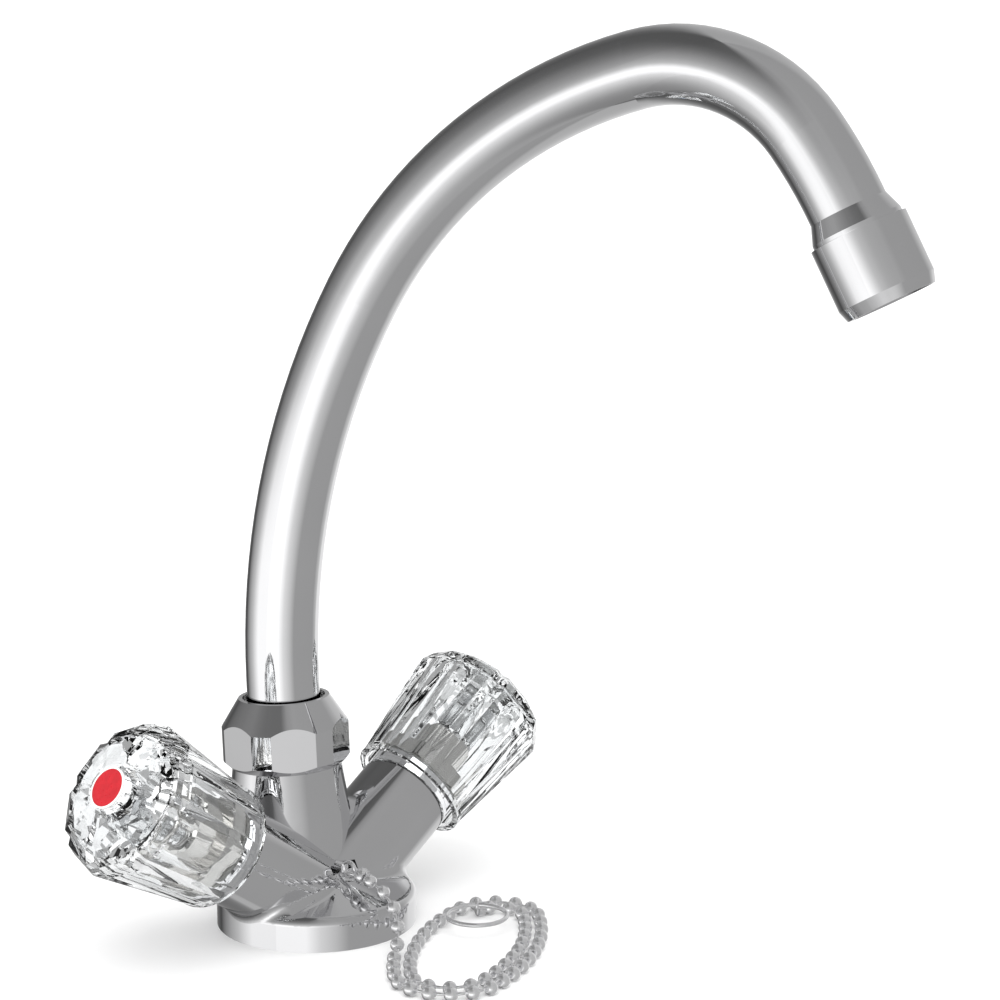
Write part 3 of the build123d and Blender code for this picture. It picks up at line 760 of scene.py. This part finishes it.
class MIXER_OT_dress_outlet(bpy.types.Operator):
    """Plates the outlet and weaves the screen in its mouth"""

    bl_idname = "mixer.dress_outlet"
    bl_label = "Dress the outlet"

    def execute(self, context):
        metal = context.scene.mixer_metal
        chrome = plated_metal("outlet_chrome", metal.chrome_tone, metal.chrome_roughness, 0.03)
        finish_nodes(["spout_ferrule", "aerator_shell"], chrome)
        finish_nodes(["aerator_washer"], black_rubber("aerator_rubber"))
        nylon = moulded_plastic("insert_nylon", (0.82, 0.82, 0.80), 0.4)
        finish_nodes(["aerator_insert"], nylon)
        low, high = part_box("aerator_screen")
        _, direction = spout_end()
        steel = machined_metal("screen_steel", (0.32, 0.32, 0.33), 0.3)
        mesh = woven_screen((low + high) / 2, direction, context.scene.mixer_outlet)
        new_piece("outlet_screen", mesh, steel, "steel_mesh", "spout", "aerator_screen")
        return {"FINISHED"}


class MIXER_OT_dress_valves(bpy.types.Operator):
    """Finishes the headworks, spindles and jumpers inside the arms and handles"""

    bl_idname = "mixer.dress_valves"
    bl_label = "Dress the valves"

    def execute(self, context):
        nickel = plated_metal("headwork_nickel", (0.66, 0.65, 0.63), 0.14, 0.1)
        dull_nickel = machined_metal("valve_nickel", (0.60, 0.60, 0.60), 0.22)
        steel = machined_metal("fastener_steel", (0.70, 0.70, 0.71), 0.22)
        rubber = black_rubber("valve_rubber")
        fibre = pressed_fibre("seal_fibre")
        for side in ("hot_", "cold_"):
            finish_nodes([side + "headwork"], nickel)
            finish_nodes([side + "spindle", side + "jumper"], dull_nickel)
            screws = [side + "handle_screw", side + "spindle_clip", side + "jumper_screw"]
            finish_nodes(screws, steel)
            finish_nodes([side + "spindle_o_ring", side + "jumper_washer"], rubber)
            finish_nodes([side + "headwork_seal"], fibre)
        return {"FINISHED"}


class MIXER_OT_dress_handles(bpy.types.Operator):
    """Makes the handles clear and colours the buttons in their ends"""

    bl_idname = "mixer.dress_handles"
    bl_label = "Dress the handles"

    def execute(self, context):
        handles = context.scene.mixer_handles
        crystals = {
            "hot_": clear_crystal("hot_crystal", handles, HANDLE_TILT),
            "cold_": clear_crystal("cold_crystal", handles, -HANDLE_TILT),
        }
        white = moulded_plastic("button_white", (0.92, 0.92, 0.91), 0.22)
        discs = {
            "hot_": (printed_disc("disc_hot", handles.hot_colour), "hot_colour"),
            "cold_": (printed_disc("disc_cold", handles.cold_colour), "cold_colour"),
        }
        for side, (enamel, slot) in discs.items():
            finish_nodes([side + "handle"], crystals[side])
            finish_nodes([side + "index_button"], white)
            finish_nodes([side + "index_disc"], enamel)
        return {"FINISHED"}


class MIXER_OT_make_chain(bpy.types.Operator):
    """Threads the ball chain along its route, and finishes the pieces at its ends"""

    bl_idname = "mixer.make_chain"
    bl_label = "Make the chain"

    def execute(self, context):
        settings = context.scene.mixer_chain
        tone = context.scene.mixer_metal.chain_tone
        bright = plated_metal("chain_nickel", tone, 0.09, 0.05, 0.88)
        line = nurbs_line(CHAIN_LEAD + [tuple(point) for point in coil_points()])
        length = line_length(line)
        radius = settings.ball_diameter / 2
        gaps = round((length - 2 * radius) / settings.ball_pitch)
        spots = [radius + (length - 2 * radius) * index / gaps for index in range(gaps + 1)]
        centres = along(line, spots)
        form = bmesh.new()
        for index, centre in enumerate(centres):
            before = centres[max(0, index - 1)]
            after = centres[min(gaps, index + 1)]
            hollow_ball(form, centre, (after - before).normalized(), settings)
        for before, after in zip(centres, centres[1:]):
            link_pin(form, before, after, settings.pin_diameter / 2)
        mesh = smooth_mesh(form, "plug_chain")
        chain = new_piece("plug_chain", mesh, bright, "bright_chain", "root", "chain_lead", "chain_coil")
        finish_nodes(["chain_eye", "chain_coupling", "chain_hook", "plug_ring"], bright)
        return {"FINISHED"}


class MIXER_OT_make_stage(bpy.types.Operator):
    """Lays the plain floor and sets the soft studio light and the camera"""

    bl_idname = "mixer.make_stage"
    bl_label = "Make the stage"

    def execute(self, context):
        stage = context.scene.mixer_stage
        form = bmesh.new()
        rim = ring_points(Vector((0, 0, 0)), Vector((1, 0, 0)), Vector((0, 1, 0)), stage.floor_radius, 96)
        form.faces.new([form.verts.new(point) for point in rim])
        mesh = bpy.data.meshes.new("floor")
        form.to_mesh(mesh)
        form.free()
        floor = bpy.data.objects.new("floor", mesh)
        context.scene.collection.objects.link(floor)
        mesh.materials.append(plain_floor("floor_pale", stage.floor_tone))
        floor.visible_glossy = False

        key = bpy.data.lights.new("key", "SUN")
        key.energy = stage.key_strength
        key.angle = math.radians(KEY_SPREAD)
        lamp = bpy.data.objects.new("key", key)
        lamp.rotation_euler = (math.radians(KEY_TURN[0]), math.radians(KEY_TURN[1]), 0)
        lamp.visible_glossy = False
        context.scene.collection.objects.link(lamp)

        context.scene.world = studio_world(stage.room_level, stage.glass_share)
        context.scene.view_settings.view_transform = "Standard"

        lens = bpy.data.cameras.new("camera")
        lens.lens = CAMERA_LENS
        lens.sensor_width = CAMERA_SENSOR
        lens.clip_start = 0.01
        lens.clip_end = 50
        camera = bpy.data.objects.new("camera", lens)
        camera.location = CAMERA_PLACE
        camera.rotation_euler = (math.radians(90 - CAMERA_DROP), 0, math.radians(CAMERA_HEADING))
        context.scene.collection.objects.link(camera)
        context.scene.camera = camera
        return {"FINISHED"}


# The studio that the metal mirrors, by compass angle in degrees from +X: how
# bright the wall is at eye level, and how bright its top and foot are.
STUDIO_WALLS = [
    (-180.0, 1.3, 0.10),
    (-145.0, 1.3, 0.12),
    (-128.0, 0.85, 0.30),
    (-110.0, 0.62, 0.36),
    (-95.0, 0.37, 0.36),
    (-20.0, 0.36, 0.35),
    (0.0, 0.85, 0.42),
    (38.0, 0.95, 0.40),
    (52.0, 0.40, 0.22),
    (66.0, 0.16, 0.13),
    (84.0, 0.06, 0.10),
    (100.0, 0.30, 0.10),
    (125.0, 0.65, 0.10),
    (148.0, 1.2, 0.10),
]

# How much of the eye-level brightness is left at each height, from the foot
# of the studio at 0 to its top at 1.
STUDIO_FALLOFF = [
    (0.0, 0.10),
    (0.13, 0.25),
    (0.29, 0.65),
    (0.36, 1.0),
    (0.44, 1.0),
    (0.50, 0.60),
    (0.55, 0.40),
    (0.65, 0.25),
    (0.78, 0.14),
    (0.92, 0.0),
]


def brightness_ramp(tree, source, steps, smooth="LINEAR"):
    """Turns a 0 to 1 value to a brightness by a short list of (place, level)."""
    levels = node(tree, "ShaderNodeValToRGB")
    tree.links.new(source, levels.inputs["Fac"])
    ramp = levels.color_ramp
    ramp.interpolation = smooth
    for index, (position, level) in enumerate(steps):
        element = ramp.elements[index] if index < 2 else ramp.elements.new(position)
        element.position = position
        element.color = (level, level, level, 1.0)
    return levels.outputs["Color"]


def blended(tree, factor, first, second):
    """Mixes two colours, each a socket or a grey level."""
    mix = node(tree, "ShaderNodeMix", data_type="RGBA")
    for socket, value in (("Factor", factor), ("A", first), ("B", second)):
        if isinstance(value, bpy.types.NodeSocket):
            tree.links.new(value, mix.inputs[socket])
        else:
            mix.inputs[socket].default_value = (value, value, value, 1.0)
    return mix.outputs["Result"]


def studio_world(room_level, glass_share):
    """A white room, which the metal alone mirrors as darker and lighter walls."""
    world = bpy.data.worlds.new("studio")
    world.use_nodes = True
    tree = world.node_tree
    tree.nodes.clear()
    place = node(tree, "ShaderNodeTexCoord")
    compass = node(tree, "ShaderNodeTexGradient", gradient_type="RADIAL")
    tree.links.new(place.outputs["Generated"], compass.inputs["Vector"])
    across = compass.outputs["Fac"]
    walls = brightness_ramp(tree, across, [(angle / 360 + 0.5, level) for angle, level, _ in STUDIO_WALLS])
    ends = brightness_ramp(tree, across, [(angle / 360 + 0.5, level) for angle, _, level in STUDIO_WALLS])
    split = node(tree, "ShaderNodeSeparateXYZ")
    tree.links.new(place.outputs["Generated"], split.inputs["Vector"])
    height = node(tree, "ShaderNodeMapRange")
    height.inputs["From Min"].default_value = -1.0
    tree.links.new(split.outputs["Z"], height.inputs["Value"])
    share = brightness_ramp(tree, height.outputs["Result"], STUDIO_FALLOFF, "B_SPLINE")
    room = blended(tree, share, ends, walls)
    seen = node(tree, "ShaderNodeLightPath")
    through = node(tree, "ShaderNodeMath", operation="MULTIPLY")
    through.inputs[1].default_value = glass_share
    tree.links.new(seen.outputs["Is Transmission Ray"], through.inputs[0])
    glossy = blended(tree, through.outputs["Value"], room, 1.0)
    shown = blended(tree, seen.outputs["Is Glossy Ray"], room_level, glossy)
    light = node(tree, "ShaderNodeBackground")
    tree.links.new(shown, light.inputs["Color"])
    output = node(tree, "ShaderNodeOutputWorld")
    tree.links.new(light.outputs["Background"], output.inputs["Surface"])
    return world


class MIXER_PT_panel(bpy.types.Panel):
    """Lists the steps that dress the mixer"""

    bl_label = "Basin mixer"
    bl_idname = "MIXER_PT_panel"
    bl_space_type = "VIEW_3D"
    bl_region_type = "UI"
    bl_category = "Mixer"

    def draw(self, context):
        for name in SETTINGS:
            settings = getattr(context.scene, name)
            for value in settings.__annotations__:
                self.layout.prop(settings, value)
        for step in STEPS:
            self.layout.operator(step.bl_idname)


SETTINGS = {
    "mixer_metal": MixerMetalSettings,
    "mixer_handles": MixerHandleSettings,
    "mixer_chain": MixerChainSettings,
    "mixer_outlet": MixerOutletSettings,
    "mixer_stage": MixerStageSettings,
}

STEPS = [
    MIXER_OT_dress_body,
    MIXER_OT_dress_spout,
    MIXER_OT_dress_outlet,
    MIXER_OT_dress_valves,
    MIXER_OT_dress_handles,
    MIXER_OT_make_chain,
    MIXER_OT_make_stage,
]


def register():
    for name, settings in SETTINGS.items():
        bpy.utils.register_class(settings)
        setattr(bpy.types.Scene, name, PointerProperty(type=settings))
    for step in STEPS:
        bpy.utils.register_class(step)
    bpy.utils.register_class(MIXER_PT_panel)


def unregister():
    bpy.utils.unregister_class(MIXER_PT_panel)
    for step in reversed(STEPS):
        bpy.utils.unregister_class(step)
    for name, settings in reversed(SETTINGS.items()):
        delattr(bpy.types.Scene, name)
        bpy.utils.unregister_class(settings)


def main():
    register()
    bpy.ops.mixer.dress_body()
    bpy.ops.mixer.dress_spout()
    bpy.ops.mixer.dress_outlet()
    bpy.ops.mixer.dress_valves()
    bpy.ops.mixer.dress_handles()
    bpy.ops.mixer.make_chain()
    bpy.ops.mixer.make_stage()


if __name__ == "__main__":
    main()
